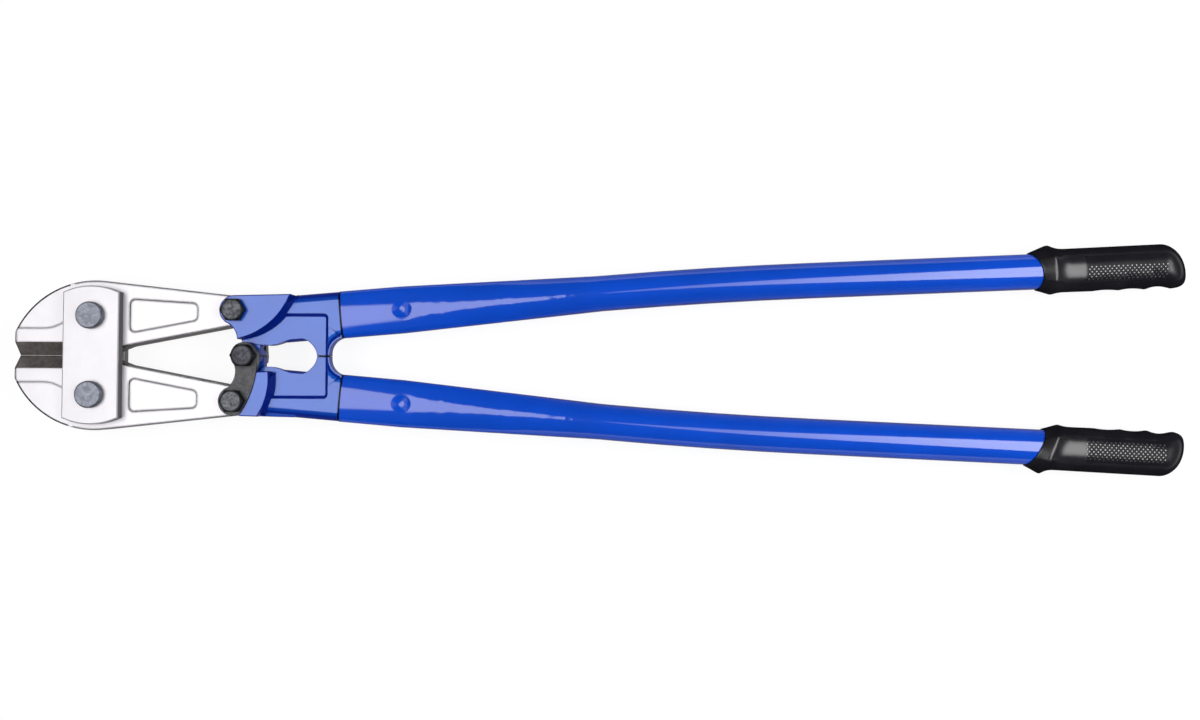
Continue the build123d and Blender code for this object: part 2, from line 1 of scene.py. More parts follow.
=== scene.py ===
import bpy
import bmesh
import json
from math import atan2, cos, pi, radians, sin
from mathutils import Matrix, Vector


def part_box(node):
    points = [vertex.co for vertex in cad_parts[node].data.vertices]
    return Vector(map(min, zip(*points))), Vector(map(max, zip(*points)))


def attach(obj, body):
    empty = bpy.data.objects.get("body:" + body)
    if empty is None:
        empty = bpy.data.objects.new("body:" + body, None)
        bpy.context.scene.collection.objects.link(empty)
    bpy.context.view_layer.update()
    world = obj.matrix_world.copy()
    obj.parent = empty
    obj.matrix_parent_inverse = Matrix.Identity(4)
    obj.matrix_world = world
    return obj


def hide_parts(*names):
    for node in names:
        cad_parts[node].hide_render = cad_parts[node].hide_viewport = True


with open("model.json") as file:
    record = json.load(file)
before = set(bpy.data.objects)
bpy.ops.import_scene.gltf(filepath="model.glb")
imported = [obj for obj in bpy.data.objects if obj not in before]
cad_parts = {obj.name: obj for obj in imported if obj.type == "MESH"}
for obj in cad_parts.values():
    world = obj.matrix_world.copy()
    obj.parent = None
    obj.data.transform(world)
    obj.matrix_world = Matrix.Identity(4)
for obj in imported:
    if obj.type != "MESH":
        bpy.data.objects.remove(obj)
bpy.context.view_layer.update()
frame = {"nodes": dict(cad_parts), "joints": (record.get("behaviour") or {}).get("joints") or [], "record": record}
nodes = frame["nodes"]
print("frame loaded:", len(nodes), "nodes")

mm = 0.001
jointAt = {joint["name"]: Vector(joint["pos_m"]) for joint in frame["joints"]}
midZ = jointAt["upper_jaw_pivot"].z  # middle of the jaws' thickness
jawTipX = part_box("upper_jaw")[0].x


# A colour or a range, each part times the same factor
def scaled(parts, by):
    return tuple(by * part for part in parts)


# Shader maths: a wrapped socket, so that finishes read as plain sums
class Wire:
    def __init__(self, graph, socket):
        self.graph = graph
        self.socket = socket

    def maths(self, kind, first, second=None):
        values = {0: first} if second is None else {0: first, 1: second}
        return self.graph.node("ShaderNodeMath", {"operation": kind}, values)

    def __add__(self, other):
        return self.maths("ADD", self, other)

    def __radd__(self, other):
        return self.maths("ADD", other, self)

    def __sub__(self, other):
        return self.maths("SUBTRACT", self, other)

    def __rsub__(self, other):
        return self.maths("SUBTRACT", other, self)

    def __mul__(self, other):
        return self.maths("MULTIPLY", self, other)

    def __rmul__(self, other):
        return self.maths("MULTIPLY", other, self)

    def __truediv__(self, other):
        return self.maths("DIVIDE", self, other)

    def __floordiv__(self, other):
        return self.maths("FLOOR", self / other)

    def __mod__(self, other):
        return self.maths("MODULO", self, other)

    def __pow__(self, other):
        return self.maths("POWER", self, other)

    def __lt__(self, other):
        return self.maths("LESS_THAN", self, other)

    def __abs__(self):
        return self.maths("ABSOLUTE", self)

    # 0 below low, 1 above high, smooth between
    def ramp(self, low, high):
        settings = {"interpolation_type": "SMOOTHSTEP"}
        return self.graph.node("ShaderNodeMapRange", settings, {0: self, 1: low, 2: high})


# A node tree and one way to add to it
class Graph:
    def __init__(self, tree):
        self.tree = tree

    # Any node: its type, its settings, then values or links for its inputs
    def node(self, kind, settings=None, values=None, out=0):
        made = self.tree.nodes.new(kind)
        for key, value in (settings or {}).items():
            setattr(made, key, value)
        for key, value in (values or {}).items():
            if isinstance(value, Wire):
                self.tree.links.new(value.socket, made.inputs[key])
            else:
                made.inputs[key].default_value = value
        return made if out is None else Wire(self, made.outputs[out])

    def split(self, vector):
        parts = self.node("ShaderNodeSeparateXYZ", values={0: vector}, out=None)
        return [Wire(self, parts.outputs[i]) for i in range(3)]

    def join(self, x, y, z):
        return self.node("ShaderNodeCombineXYZ", values={0: x, 1: y, 2: z})

    # 1 for what the camera sees, also in gloss and through glass
    def seen(self):
        path = self.node("ShaderNodeLightPath", out=None)
        rays = ("Is Camera Ray", "Is Glossy Ray", "Is Transmission Ray")
        return sum(Wire(self, path.outputs[ray]) for ray in rays)


# A material: what is constant is set on the shader, what varies is fed to it
class Finish(Graph):
    def __init__(self, name, **constants):
        self.material = bpy.data.materials.new(name)
        self.material.use_nodes = True
        super().__init__(self.material.node_tree)
        self.shader = self.tree.nodes["Principled BSDF"]
        for key, value in constants.items():
            self.shader.inputs[key.replace("_", " ")].default_value = value
        self.coords = self.node("ShaderNodeTexCoord", out="Object")
        self.x, self.y, self.z = self.split(self.coords)

    def feed(self, **links):
        for key, value in links.items():
            self.tree.links.new(value.socket, self.shader.inputs[key.replace("_", " ")])
        return self.material

    # 1 on walls that stand upright, 0 on faces that lie flat
    def wall(self, low=0.5, high=0.85):
        normal = self.node("ShaderNodeNewGeometry", out="Normal")
        return 1 - abs(self.split(normal)[2]).ramp(low, high)

    # 1 along edges, as far in from them as the reach
    def rim(self, reach, low=0.02, high=0.15):
        eased = self.node("ShaderNodeBevel", {"samples": 8}, {"Radius": reach * mm})
        normal = self.node("ShaderNodeNewGeometry", out="Normal")
        settings = {"operation": "DOT_PRODUCT"}
        alike = self.node("ShaderNodeVectorMath", settings, {0: eased, 1: normal}, out="Value")
        return (1 - alike).ramp(low, high)

    # Place along and across a handle, from a start on the upper one, mirrored for the lower one
    def onHandle(self, start, turn):
        fromX = self.x - start.x
        fromY = abs(self.y) - start.y
        return fromX * cos(turn) + fromY * sin(turn), fromY * cos(turn) - fromX * sin(turn)

    def noise(self, scale, detail=3, stretch=(1, 1, 1), rough=0.55):
        place = self.node("ShaderNodeMapping", values={0: self.coords, 3: stretch})
        values = {"Vector": place, "Scale": scale, "Detail": detail, "Roughness": rough}
        return self.node("ShaderNodeTexNoise", values=values)

    def mix(self, mask, first, second):
        first = first if isinstance(first, Wire) else (*first, 1)
        second = second if isinstance(second, Wire) else (*second, 1)
        values = {0: mask, 6: first, 7: second}
        return self.node("ShaderNodeMix", {"data_type": "RGBA"}, values, out=2)

    # Rounds edges in the light by the look's edge and adds a fine height on top
    def relief(self, look, height):
        eased = self.node("ShaderNodeBevel", {"samples": 6}, {"Radius": look["edge"] * mm})
        strength, depth = look["bump"]
        values = {"Strength": strength, "Distance": depth * mm, "Height": height, "Normal": eased}
        return self.node("ShaderNodeBump", values=values)


# A finish under a clear coat
def coated(name, look):
    coat = {"Coat_Roughness": look["coatRough"], "Coat_IOR": look["gloss"]}
    return Finish(name, Specular_IOR_Level=look["specular"], **coat)


# Satin forged steel of the jaws: faces ground pale, upright walls painted dark as shade, and a black line along
# the edges painted as the shade of their rounding.
# In the looks of finishes and grips, lengths are in millimetres and noise scales per metre
jawLook = {
    # the wall colour is painted shade on upright faces
    "steel": (0.66, 0.645, 0.67), "shade": (0.59, 0.575, 0.60), "wall": (0.034, 0.031, 0.030),
    # the line colour is painted shade along the edges
    "line": (0.006, 0.0055, 0.0055), "lineReach": 4.0, "lineRamp": (0.01, 0.05),
    "noseEnd": 50.4, "noseBare": 2.0,  # no line where the nose ends
    # this tone is painted shade of the tilted cutting facets; their streaks are grinding marks
    "shadedBevel": (0.11, 0.098, 0.094), "bevelWidth": 11.5, "bevelLength": 60.0,
    "grain": 900.0, "cloud": 24.0, "streak": 260.0, "rough": 0.34, "metal": 0.5,
    "edge": 0.5, "bump": (0.12, 0.2),
}


def makeJawSteel(look):
    finish = Finish("jawSteel")
    grain = finish.noise(look["grain"], 2)
    cloud = finish.noise(look["cloud"], 4)
    streak = finish.noise(look["streak"], 3, (1, 0.06, 1))
    wall = finish.wall()
    fromTip = finish.x - jawTipX
    atNoseEnd = abs(fromTip - look["noseEnd"] * mm) < look["noseBare"] * mm
    # a black line painted along the edges as the shade of their rounding, left out where the nose ends
    line = finish.rim(look["lineReach"], *look["lineRamp"]) * (1 - atNoseEnd)
    onBevel = (abs(finish.y) < look["bevelWidth"] * mm) * (fromTip < look["bevelLength"] * mm)
    metal = look["metal"] * (1 - 0.5 * wall)
    steel = finish.mix(cloud.ramp(0.35, 0.7), look["shade"], look["steel"])
    # upright walls painted dark as shade, mottled by the cloud noise
    scale = finish.mix(cloud.ramp(0.4, 0.65), look["wall"], scaled(look["wall"], 2.0))
    # darker on the cutting facets as painted shade, streaked by grinding
    shadedBevel = finish.mix(streak.ramp(0.3, 0.7), look["shadedBevel"], scaled(look["shadedBevel"], 1.5))
    forged = finish.mix(line, finish.mix(wall, steel, scale), look["line"])
    return finish.feed(
        Base_Color=finish.mix(onBevel, forged, shadedBevel),
        Roughness=look["rough"] + 0.12 * cloud + 0.08 * grain - 0.06 * onBevel + 0.2 * wall,
        Metallic=metal + (1 - metal) * line,
        Normal=finish.relief(look, 0.7 * grain + 0.3 * streak),
    )


# Plated side plates, brushed across, their upright walls painted dark as shade
plateLook = {
    "steel": (0.61, 0.595, 0.62), "shade": (0.55, 0.535, 0.56), "wall": (0.10, 0.10, 0.105),
    "grain": 700.0, "cloud": 30.0, "brushed": 420.0, "rough": 0.36, "metal": 0.5,
    "edge": 0.7, "bump": (0.1, 0.2),
}


def makePlateSteel(look):
    finish = Finish("plateSteel")
    grain = finish.noise(look["grain"], 2)
    cloud = finish.noise(look["cloud"], 4)
    brushed = finish.noise(look["brushed"], 2, (1, 0.05, 1))
    wall = finish.wall()
    steel = finish.mix(cloud.ramp(0.3, 0.72), look["shade"], look["steel"])
    return finish.feed(
        # upright walls painted dark as shade
        Base_Color=finish.mix(wall, steel, look["wall"]),
        Roughness=look["rough"] + 0.1 * cloud + 0.06 * brushed + 0.15 * wall,
        Metallic=look["metal"] * (1 - 0.4 * wall),
        Normal=finish.relief(look, 0.6 * brushed + 0.4 * grain),
    )


# Dark oxide steel of bolts, nuts and links: mottled, with paler scuffs, and dark edges painted as shade
oxideLook = {
    "grain": 1100.0, "cloud": 190.0, "speck": 620.0, "metal": 0.8, "edge": 0.4, "bump": (0.25, 0.3),
    # the dark hexagon corners are painted shade of a chamfer that the head lacks
    "disc": (7.6, 8.8),  # a hexagon head is pale as far out as this, and dark at its corners
}
oxideTones = {
    "jawBolt": {"dark": (0.115, 0.123, 0.15), "pale": (0.25, 0.26, 0.305), "rough": 0.38, "outline": 0.8},
    "tailBolt": {"dark": (0.028, 0.029, 0.034), "pale": (0.15, 0.154, 0.17), "rough": 0.40, "outline": 0.9},
    "centreBolt": {"dark": (0.02, 0.02, 0.025), "pale": (0.085, 0.085, 0.1), "rough": 0.40, "outline": 0.9},
    "link": {"dark": (0.045, 0.045, 0.048), "pale": (0.09, 0.09, 0.095), "rough": 0.42, "outline": 0.6},
    "nut": {"dark": (0.09, 0.095, 0.105), "pale": (0.2, 0.21, 0.23), "rough": 0.40, "outline": 0.6},
}


def makeOxideSteel(name, look, hexBolt=None):
    finish = Finish(name, Metallic=look["metal"])
    grain = finish.noise(look["grain"], 3)
    cloud = finish.noise(look["cloud"], 5, rough=0.7)
    speck = finish.noise(look["speck"], 4).ramp(0.56, 0.68)
    rim = finish.rim(look["outline"])
    if hexBolt:
        low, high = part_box(hexBolt)
        middle = (low + high) / 2
        away = ((finish.x - middle.x) ** 2 + (finish.y - middle.y) ** 2) ** 0.5
        outside = away.ramp(*scaled(look["disc"], mm))
        rim = rim + outside - rim * outside
    steel = finish.mix(0.6 * cloud.ramp(0.38, 0.62) + 0.4 * speck, look["dark"], look["pale"])
    return finish.feed(
        # edges and hexagon corners take the dark tone as painted shade
        Base_Color=finish.mix(rim, steel, scaled(look["dark"], 0.2)),
        Roughness=look["rough"] + 0.16 * cloud - 0.08 * speck,
        Normal=finish.relief(look, 0.5 * grain + 0.5 * cloud),
    )


# Gloss enamel over castings and tubes: thin and dull on what stands upright. Upright faces, edges and the flat
# strip beside the bar are painted navy as shade, and where two pieces meet a dark line is painted as shade.
paintLook = {
    # the wall navy is painted shade on upright faces, edges and the flank strip
    "wall": (0.0015, 0.016, 0.23), "meet": (0.001, 0.004, 0.03), "shade": 0.88,
    # the meet colour is painted shade in the seam and in the gap at the stop
    "seamAt": (217.7, 37.5), "seamTurn": 4.95, "seamHalf": 0.9, "stopHalf": 0.9,
    "dentRun": 55.0, "dentHalf": 8.8, "dentGleam": (2.4, 3.36),
    # the flat strip beside the bar is darkened as painted shade of a rounded flank it lacks
    "flank": (12.8, 14.2), "flankHeight": 9.2, "flankShade": 0.6, "rimRamp": (0.05, 0.15),
    "dulled": {"wall": 0.85, "meet": 0.8, "rim": 0.7, "dent": 0.8, "flank": 0.9},  # share of the gloss lost
    "peel": 500.0, "cloud": 18.0, "cast": 130.0, "rough": 0.45, "specular": 0.05,
    "edge": 1.3, "bump": (0.1, 0.4),
}
paintCoats = {
    "tube": {
        "blue": (0.001, 0.067, 0.585), "upright": (0.2, 0.5), "dull": (0.55, 0.8), "outline": 0.4,
        "gloss": 1.62, "coatRough": 0.08,
    },
    "knuckle": {
        "blue": (0.003, 0.095, 0.56), "upright": (0.8, 0.97), "dull": (0.8, 0.96), "outline": 2.2,
        "gloss": 1.57, "coatRough": 0.16,
    },
}


def makeBluePaint(name, look):
    finish = coated(name, look)
    peel = finish.noise(look["peel"], 2)
    cloud = finish.noise(look["cloud"], 3)
    cast = finish.noise(look["cast"], 4)
    seamX, seamY = look["seamAt"]  # where knuckle and tube meet, from the jaw pivots and the midline
    seam = Vector((jointAt["upper_jaw_pivot"].x + seamX * mm, seamY * mm))
    along, across = finish.onHandle(seam, radians(look["seamTurn"]))
    # dark lines in the seam and in the gap at the stop are painted shade
    atSeam = abs(along) < look["seamHalf"] * mm
    atStop = abs(finish.y) < look["stopHalf"] * mm
    fromDent = ((along - look["dentRun"] * mm) ** 2 + across**2) ** 0.5
    gleam = fromDent.ramp(*scaled(look["dentGleam"], mm))
    onBar = (along < 0.0) * (abs(finish.z - midZ) < look["flankHeight"] * mm)
    masks = {
        "wall": finish.wall(*look["dull"]),
        "meet": atSeam + atStop - atSeam * atStop,
        "rim": finish.rim(look["outline"], *look["rimRamp"]),
        "dent": gleam * (fromDent < look["dentHalf"] * mm),
        "flank": across.ramp(*scaled(look["flank"], mm)) * onBar,
    }
    gloss = 1
    for key, mask in masks.items():
        gloss = gloss * (1 - look["dulled"][key] * mask)
    # flat faces keep the blue; upright faces, edges and the flank strip take the navy as painted shade
    bright = (1 - finish.wall(*look["upright"])) * (1 - masks["rim"])
    bright = bright * (1 - look["flankShade"] * masks["flank"])
    tone = finish.mix(cloud.ramp(0.3, 0.75), scaled(look["blue"], look["shade"]), look["blue"])
    return finish.feed(
        Base_Color=finish.mix(masks["meet"], finish.mix(bright, look["wall"], tone), look["meet"]),
        Roughness=look["rough"] + 0.1 * cast,
        Coat_Weight=gloss,
        Normal=finish.relief(look, 0.65 * peel + 0.35 * cast),
    )


# Moulded grips: half sizes are for the outer side, the top and the side of the midline
gripLook = {
    "angle": 2.5, "tubeRadius": 16.1, "inside": 117.7, "bore": 16.2, "lip": 17.3, "lipRound": (0.3, 0.4, 0.6),
    "crest": (24.1, 23.0, 21.6), "facet": 0.6, "neckHalf": (19.8, 18.5, 19.6), "neckCurve": 2.4,
    "grooves": (70.0, 93.5, 117.0), "grooveHalf": 11.75, "grooveDepth": (0.9, 1.3, 2.4), "grooveRound": 1.5,
    "buttHalf": (20.7, 18.5, 20.0), "buttLean": 10.0, "buttCurve": (0.8, 0.8, 1.1),
}
# Each grip sits on its tube in its own way: places along its axis, for the same three sides
gripShapes = {
    "upper": {
        "front": (1.2, 8.5, 7.4), "crestAt": (19.0, 19.3, 19.7), "neckAt": (33.3, 33.0, 32.8), "roll": -12.0,
        "straight": 121.0, "end": 141.5, "studs": (50.0, -4.5), "columns": 18, "rows": 6,
    },
    "lower": {
        "front": (-3.1, 5.7, 12.3), "crestAt": (10.5, 16.2, 25.4), "neckAt": (22.4, 30.0, 37.5), "roll": 0.0,
        "straight": 118.0, "end": 138.5, "studs": (46.5, 0.0), "columns": 18, "rows": 8,
    },
}
gripTurn = radians(gripLook["angle"])
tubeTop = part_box("upper_tube")[1]
tubeEnd = tubeTop - Vector((sin(gripTurn), cos(gripTurn), 0)) * gripLook["tubeRadius"] * mm
gripFront = tubeEnd - Vector((cos(gripTurn), sin(gripTurn), 0)) * gripLook["inside"] * mm

# Glossy moulded vinyl, matt in the field under the studs and where it turns down
vinylLook = {
    "black": (0.0095, 0.009, 0.0115), "worn": (0.0155, 0.0148, 0.0185), "rough": 0.5,
    "specular": 0.0, "gloss": 1.55, "coatRough": 0.28, "coatRamp": (0.74, 0.88),
    "fieldFront": (45.0, 48.0), "fieldRear": (117.0, 123.0), "fieldHalf": 11.0, "fieldDull": 0.85,
    "grain": 1500.0, "cloud": 40.0, "edge": 0.4, "bump": (0.08, 0.2),
}


def makeVinyl(look):
    finish = coated("gripBlack", look)
    grain = finish.noise(look["grain"], 2)
    cloud = finish.noise(look["cloud"], 4)
    along, across = finish.onHandle(gripFront, gripTurn)
    behind = along.ramp(*scaled(look["fieldFront"], mm))
    before = 1 - along.ramp(*scaled(look["fieldRear"], mm))
    field = behind * before * (abs(across) < look["fieldHalf"] * mm)
    level = 1 - finish.wall(*look["coatRamp"])
    return finish.feed(
        Base_Color=finish.mix(cloud.ramp(0.4, 0.8), look["black"], look["worn"]),
        Roughness=look["rough"] + 0.2 * cloud,
        Coat_Weight=level * (1 - look["fieldDull"] * field) * (0.85 + 0.3 * cloud),
        Normal=finish.relief(look, 0.6 * grain + 0.4 * cloud),
    )


finishes = {
    "jaw_steel": makeJawSteel(jawLook),
    "plate_steel": makePlateSteel(plateLook),
    "bolt_steel": makeOxideSteel("jawBoltSteel", oxideLook | oxideTones["jawBolt"]),
    "link_steel": makeOxideSteel("linkSteel", oxideLook | oxideTones["link"]),
    "nut_steel": makeOxideSteel("nutSteel", oxideLook | oxideTones["nut"]),
    "blue_paint": makeBluePaint("tubePaint", paintLook | paintCoats["tube"]),
    "grip_black": makeVinyl(vinylLook),
}
# Nodes that differ from the rest of their slot
knucklePaint = makeBluePaint("knucklePaint", paintLook | paintCoats["knuckle"])
special = {"upper_knuckle": knucklePaint, "lower_knuckle": knucklePaint}
hexBolts = {"upper_tail_bolt": "tailBolt", "lower_tail_bolt": "tailBolt", "centre_bolt": "centreBolt"}
for node, tone in hexBolts.items():
    special[node] = makeOxideSteel(node + "_steel", oxideLook | oxideTones[tone], node)
for part in frame["record"]["subparts"]:
    slots = nodes[part["node"]].data.materials
    slots.clear()
    slots.append(special.get(part["node"], finishes[part["material_slot"]]))
print("finishes on every node")


# A value that runs from the outer side over the top to the side of the midline
def around(values, angle):
    outer, top, inner = values
    side = (outer - inner) / 2
    mean = (outer + inner) / 2
    return (mean + top) / 2 + side * cos(angle) + (mean - top) / 2 * cos(2 * angle)


def ovalRadius(halves, angle):
    outer, top, inner = halves
    wide = outer if cos(angle) > 0 else inner
    return ((cos(angle) / wide) ** 2 + (sin(angle) / top) ** 2) ** -0.5


# Six-sided collar with a corner on the outer side, rounded by 1 - facet
def collarRadius(look, angle):
    flat = cos(pi / 6) / cos((angle % (pi / 3)) - pi / 6)
    return around(look["crest"], angle) * (1 - look["facet"] + look["facet"] * flat)


def fingerHollow(look, run, angle):
    inner = max(0.0, -cos(angle)) ** look["grooveRound"]
    depth = 0.0
    for middle, deep in zip(look["grooves"], look["grooveDepth"]):
        depth += deep * max(0.0, 1 - ((run - middle) / look["grooveHalf"]) ** 2)
    return depth * inner


# Points (along, across, up) from the bore, round the lip, along the grip and over the butt to its tip
def gripLine(look, shape, angle, counts):
    front, crest, neck = (around(shape[key], angle) for key in ("front", "crestAt", "neckAt"))
    rolled = angle - radians(shape["roll"])
    neckRadius = ovalRadius(look["neckHalf"], rolled)
    buttRadius = ovalRadius(look["buttHalf"], rolled)
    top = collarRadius(look, angle)
    lipBack, lipIn, mouth = look["lipRound"]
    collarFront = front + lipBack
    collar = []
    for i in range(counts["collar"] + 1):
        part = i / counts["collar"]
        collar.append((collarFront + (crest - collarFront) * part, look["lip"] + (top - look["lip"]) * part))
    for i in range(1, counts["neck"] + 1):
        part = i / counts["neck"]
        swell = (top - neckRadius) * (1 - part) ** look["neckCurve"]
        collar.append((crest + (neck - crest) * part, neckRadius + swell))
    for i in range(counts["ease"]):  # rounds the crest
        trios = zip(collar, collar[1:], collar[2:])
        collar[1:-1] = [(b[0], (a[1] + 2 * b[1] + c[1]) / 4) for a, b, c in trios]
    line = [(look["inside"], 0.0), (look["inside"], look["bore"]), (front + mouth, look["bore"])]
    line += [(front, look["lip"] - lipIn)] + collar
    for i in range(1, counts["body"] + 1):
        part = i / counts["body"]
        run = neck + (shape["straight"] - neck) * part
        line.append((run, neckRadius + (buttRadius - neckRadius) * part - fingerHollow(look, run, rolled)))
    points = [(run, radius * cos(angle), radius * sin(angle)) for run, radius in line]
    leanCurve, wideCurve, highCurve = look["buttCurve"]
    for i in range(1, counts["butt"] + 1):
        turn = pi / 2 * i / counts["butt"]
        run = shape["straight"] + (shape["end"] - shape["straight"]) * sin(turn)
        radius = buttRadius - fingerHollow(look, run, rolled)
        left = max(cos(turn), 0.0)
        across = radius * cos(angle) * left**wideCurve - look["buttLean"] * (1 - left) ** leanCurve
        points.append((run, across, radius * sin(angle) * left**highCurve))
    return points


def makeGrip(name, side, look, shape):
    counts = {"around": 96, "collar": 11, "neck": 11, "ease": 3, "body": 66, "butt": 16}
    forward = Vector((cos(gripTurn), side * sin(gripTurn), 0))
    outward = Vector((-sin(gripTurn), side * cos(gripTurn), 0))
    start = Vector((gripFront.x, side * gripFront.y, midZ))
    work = bmesh.new()
    columns = []
    for k in range(counts["around"]):
        angle = 2 * pi * k / counts["around"]
        spots = [forward * run + outward * across + Vector((0, 0, up))
                 for run, across, up in gripLine(look, shape, angle, counts)]
        columns.append([work.verts.new(start + spot * mm) for spot in spots])
    rings = len(columns[0])
    for k in range(counts["around"]):
        here, there = columns[k], columns[(k + 1) % counts["around"]]
        for i in range(rings - 1):
            work.faces.new((here[i], here[i + 1], there[i + 1], there[i]))
    bmesh.ops.remove_doubles(work, verts=work.verts, dist=1e-6)
    bmesh.ops.recalc_face_normals(work, faces=work.faces)
    mesh = bpy.data.meshes.new(name)
    work.to_mesh(mesh)
    work.free()
    mesh.shade_smooth()
    mesh.materials.append(finishes["grip_black"])
    grip = bpy.data.objects.new(name, mesh)
    bpy.context.collection.objects.link(grip)
    return grip


# Studs with tops paler in patches: partly worn by use, partly a painted highlight for their glint
studLook = {
    "pitch": 3.97, "gap": 2.12, "width": 1.9, "height": 0.45, "taper": 0.62, "sides": 10, "drop": 100.0,
    # the pale tone is partly wear and partly a painted highlight
    "dark": (0.0155, 0.0148, 0.0185), "pale": (0.06, 0.06, 0.063), "rubAndGlint": 260.0,
    "rough": 0.2, "specular": 0.8, "gloss": 1.55, "coatRough": 0.1,
}


def makeStudBlack(look):
    finish = coated("studBlack", look)
    rubAndGlint = finish.noise(look["rubAndGlint"], 3)
    return finish.feed(
        Base_Color=finish.mix(rubAndGlint.ramp(0.3, 0.7), look["dark"], look["pale"]),
        Roughness=look["rough"] + 0.15 * rubAndGlint,
        Coat_Weight=0.6 + 0.4 * rubAndGlint,
    )


# Staggered rows of studs, dropped on the grip from above and from below
def makeStudTree(look):
    tree = bpy.data.node_groups.new("gripStuds", "GeometryNodeTree")
    inputs = {
        "Grip": "Geometry", "Middle": "Vector", "Turn": "Float", "Columns": "Int", "Rows": "Int",
        "Pitch": "Float", "Row Gap": "Float", "Width": "Float", "Height": "Float", "Finish": "Material",
    }
    for name, kind in inputs.items():
        tree.interface.new_socket(name, in_out="INPUT", socket_type="NodeSocket" + kind)
    tree.interface.new_socket("Studs", in_out="OUTPUT", socket_type="NodeSocketGeometry")
    graph = Graph(tree)
    source = graph.node("NodeGroupInput", out=None)
    given = {name: Wire(graph, source.outputs[name]) for name in inputs}
    radius = given["Width"] * 0.5
    stud = graph.node("GeometryNodeMeshCone", values={
        "Vertices": look["sides"], "Radius Top": radius * look["taper"], "Radius Bottom": radius,
        "Depth": given["Height"],
    })
    grid = graph.node("GeometryNodeMeshGrid", values={
        "Size X": (given["Columns"] - 1) * given["Pitch"], "Size Y": (given["Rows"] - 1) * given["Row Gap"],
        "Vertices X": given["Columns"], "Vertices Y": given["Rows"],
    })
    rowPlace = graph.split(graph.node("GeometryNodeInputPosition"))[1]
    odd = (rowPlace / given["Row Gap"] + given["Rows"] / 2) // 1 % 2
    shift = graph.join((odd - 0.5) * given["Pitch"] * 0.5, 0.0, 0.0)
    staggered = graph.node("GeometryNodeSetPosition", values={"Geometry": grid, "Offset": shift})
    turn = graph.join(0.0, 0.0, given["Turn"])
    asVector = {"data_type": "FLOAT_VECTOR"}
    drop = look["drop"] * mm
    gathered = graph.node("GeometryNodeJoinGeometry", out=None)
    for side in (1, -1):
        values = {0: given["Middle"], 1: (0, 0, drop * side)}
        high = graph.node("ShaderNodeVectorMath", {"operation": "ADD"}, values)
        values = {"Geometry": staggered, "Translation": high, "Rotation": turn}
        placed = graph.node("GeometryNodeTransform", values=values)
        values = {"Target Geometry": given["Grip"], "Ray Direction": (0, 0, -side), "Ray Length": 2 * drop}
        ray = graph.node("GeometryNodeRaycast", values=values, out=None)
        values = {"Geometry": placed, "Name": "facing", "Value": Wire(graph, ray.outputs["Hit Normal"])}
        noted = graph.node("GeometryNodeStoreNamedAttribute", asVector, values)
        values = {"Geometry": noted, "Position": Wire(graph, ray.outputs["Hit Position"])}
        seated = graph.node("GeometryNodeSetPosition", values=values)
        facing = graph.node("GeometryNodeInputNamedAttribute", asVector, {"Name": "facing"})
        turned = graph.node("FunctionNodeAlignRotationToVector", {"axis": "Z"}, {"Vector": facing})
        values = {"Points": seated, "Instance": stud, "Rotation": turned}
        copies = graph.node("GeometryNodeInstanceOnPoints", values=values)
        tree.links.new(copies.socket, gathered.inputs[0])
    whole = graph.node("GeometryNodeRealizeInstances", values={0: Wire(graph, gathered.outputs[0])})
    values = {"Geometry": whole, "Material": given["Finish"]}
    finished = graph.node("GeometryNodeSetMaterial", values=values)
    graph.node("NodeGroupOutput", values={"Studs": finished}, out=None)
    return tree


def makeStuds(name, grip, side, look, shape, tree):
    carrier = bpy.data.objects.new(name, grip.data.copy())
    bpy.context.collection.objects.link(carrier)
    modifier = carrier.modifiers.new("studs", "NODES")
    modifier.node_group = tree
    run, across = shape["studs"]
    run += (shape["columns"] - 1) * look["pitch"] / 2
    middle = Vector((gripFront.x, side * gripFront.y, midZ))
    middle += Vector((cos(gripTurn), side * sin(gripTurn), 0)) * run * mm
    middle += Vector((-sin(gripTurn), side * cos(gripTurn), 0)) * across * mm
    settings = {
        "Middle": middle, "Turn": side * gripTurn, "Columns": shape["columns"], "Rows": shape["rows"],
        "Pitch": look["pitch"] * mm, "Row Gap": look["gap"] * mm,
        "Width": look["width"] * mm, "Height": look["height"] * mm, "Finish": studFinish,
    }
    for item in tree.interface.items_tree:
        if item.in_out == "INPUT" and item.name in settings:
            modifier[item.identifier] = settings[item.name]
    shown = carrier.evaluated_get(bpy.context.evaluated_depsgraph_get())
    mesh = bpy.data.meshes.new_from_object(shown)
    carrier.modifiers.remove(modifier)
    carrier.data = mesh
    return carrier


studFinish = makeStudBlack(studLook)
studTree = makeStudTree(studLook)
for name, side in (("upper", 1), ("lower", -1)):
    grip = makeGrip(name + "Grip", side, gripLook, gripShapes[name])
    studs = makeStuds(name + "GripStuds", grip, side, studLook, gripShapes[name], studTree)
    for piece in (grip, studs):
        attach(piece, name + "_handle")
    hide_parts(name + "_grip")
    print(grip.name, len(grip.data.polygons), "faces,", studs.name, len(studs.data.polygons), "faces")

# Camera above the tool, at the photo's distance, a little towards the lower handle and slightly turned
cameraLook = {
    "aimX": -0.003, "aimY": -0.0022, "back": -0.030, "height": 1.075, "turn": 0.236,
    "lens": 35.8, "sensor": 36.0, "clip": 0.01,
}
cameraData = bpy.data.cameras.new("camera")
cameraData.lens = cameraLook["lens"]
cameraData.sensor_width = cameraLook["sensor"]
cameraData.clip_start = cameraLook["clip"]
camera = bpy.data.objects.new("camera", cameraData)
camera.location = (cameraLook["aimX"], cameraLook["aimY"] + cameraLook["back"], midZ + cameraLook["height"])
camera.rotation_euler = (atan2(-cameraLook["back"], cameraLook["height"]), 0, radians(cameraLook["turn"]))
bpy.context.collection.objects.link(camera)
bpy.context.scene.camera = camera

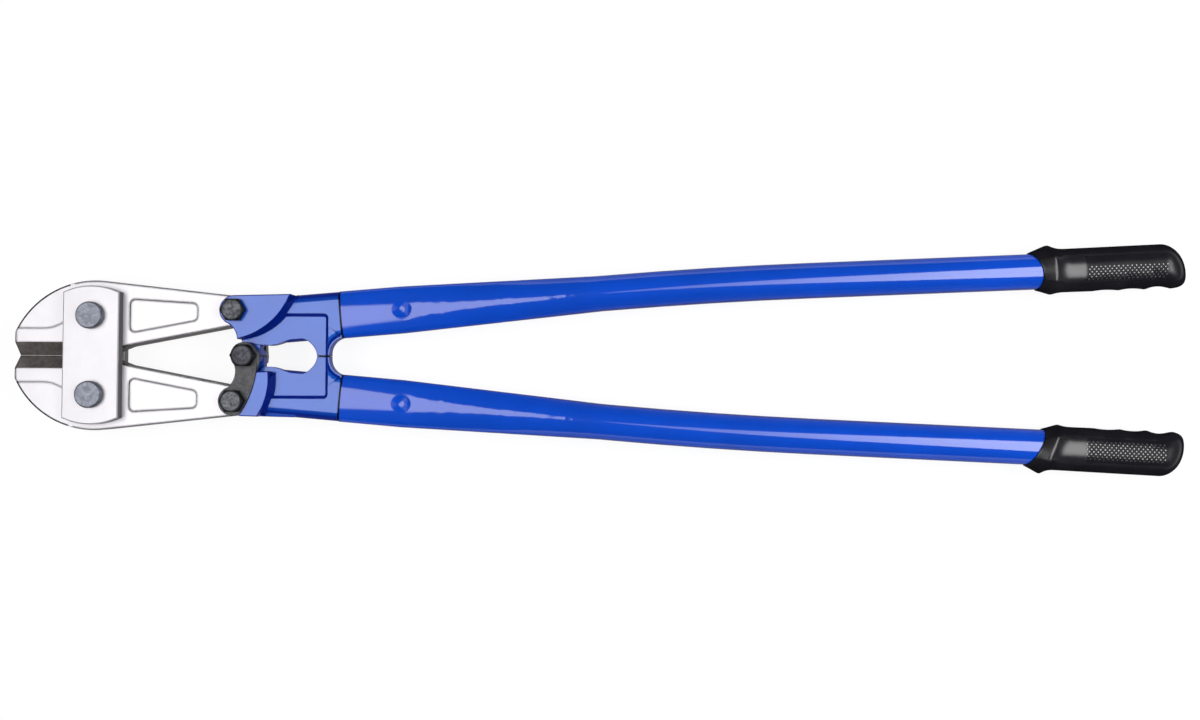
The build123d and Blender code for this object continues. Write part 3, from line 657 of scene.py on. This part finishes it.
# Pale floor that reads as white but keeps the shadow
floorLook = {
    "half": 6.0, "below": 0.0005, "white": (0.88, 0.88, 0.88), "rough": 0.9, "lift": 0.84, "glow": 1.05,
}
floorMesh = bpy.data.meshes.new("floor")
half = floorLook["half"]
corners = [(-half, -half, 0), (half, -half, 0), (half, half, 0), (-half, half, 0)]
floorMesh.from_pydata(corners, [], [(0, 1, 2, 3)])
floor = bpy.data.objects.new("floor", floorMesh)
floor.location.z = -floorLook["below"]
bpy.context.collection.objects.link(floor)


def makeFloorWhite(look):
    finish = Finish("floorWhite", Roughness=look["rough"], Base_Color=(*look["white"], 1))
    glow = finish.node("ShaderNodeEmission", values={0: (1, 1, 1, 1), 1: look["glow"]})
    lit = Wire(finish, finish.shader.outputs[0])
    both = finish.node("ShaderNodeMixShader", values={0: finish.seen() * look["lift"], 1: lit, 2: glow})
    finish.tree.links.new(both.socket, finish.tree.nodes["Material Output"].inputs["Surface"])
    return finish.material


floorMesh.materials.append(makeFloorWhite(floorLook))

# Soft studio light: a panel overhead on each side of the camera, wider further out, with soft borders.
# The world is dim, and white low down where the camera or a reflection sees it
lightLook = {
    "world": 0.05, "backdrop": (0.02, 0.12), "height": 1.16, "spread": 1.5, "tip": 0.03, "soft": 0.04,
    "fullAt": 0.75,  # share of the panel's end where its far brightness is reached
    "panels": (  # name, side, where it starts and ends, how bright it is there
        ("headPanel", -1, 0.16, 1.16, 3.8, 3.8),
        ("gripPanel", 1, 0.02, 1.16, 1.8, 6.6),
    ),
}
world = bpy.data.worlds.new("studio")
world.use_nodes = True
background = world.node_tree.nodes["Background"]
background.inputs["Color"].default_value = (1, 1, 1, 1)
sky = Graph(world.node_tree)
up = sky.split(sky.node("ShaderNodeNewGeometry", out="Position"))[2]
backdrop = sky.seen() * (1 - up.ramp(*lightLook["backdrop"]))
level = lightLook["world"] + (1 - lightLook["world"]) * backdrop
sky.tree.links.new(level.socket, background.inputs["Strength"])
bpy.context.scene.world = world
for name, side, start, end, near, far in lightLook["panels"]:
    data = bpy.data.lights.new(name, "AREA")
    data.shape = "RECTANGLE"
    data.size = end - start
    data.size_y = (end + lightLook["tip"]) * lightLook["spread"]
    data.energy = pi * data.size * data.size_y
    data.use_nodes = True
    graph = Graph(data.node_tree)
    x, y = graph.split(graph.node("ShaderNodeNewGeometry", out="Position"))[:2]
    inside = (abs(x) + lightLook["tip"]) * (lightLook["spread"] / 2) - abs(y)
    bright = near + (far - near) * abs(x).ramp(start, lightLook["fullAt"] * end)
    bright = bright * inside.ramp(-lightLook["soft"], lightLook["soft"])
    graph.tree.links.new(bright.socket, graph.tree.nodes["Emission"].inputs["Strength"])
    lamp = bpy.data.objects.new(name, data)
    lamp.location = (side * (start + end) / 2, 0, lightLook["height"])
    lamp.visible_camera = False
    bpy.context.collection.objects.link(lamp)
bpy.context.scene.view_settings.view_transform = "Standard"
print("stage, lights and camera set")
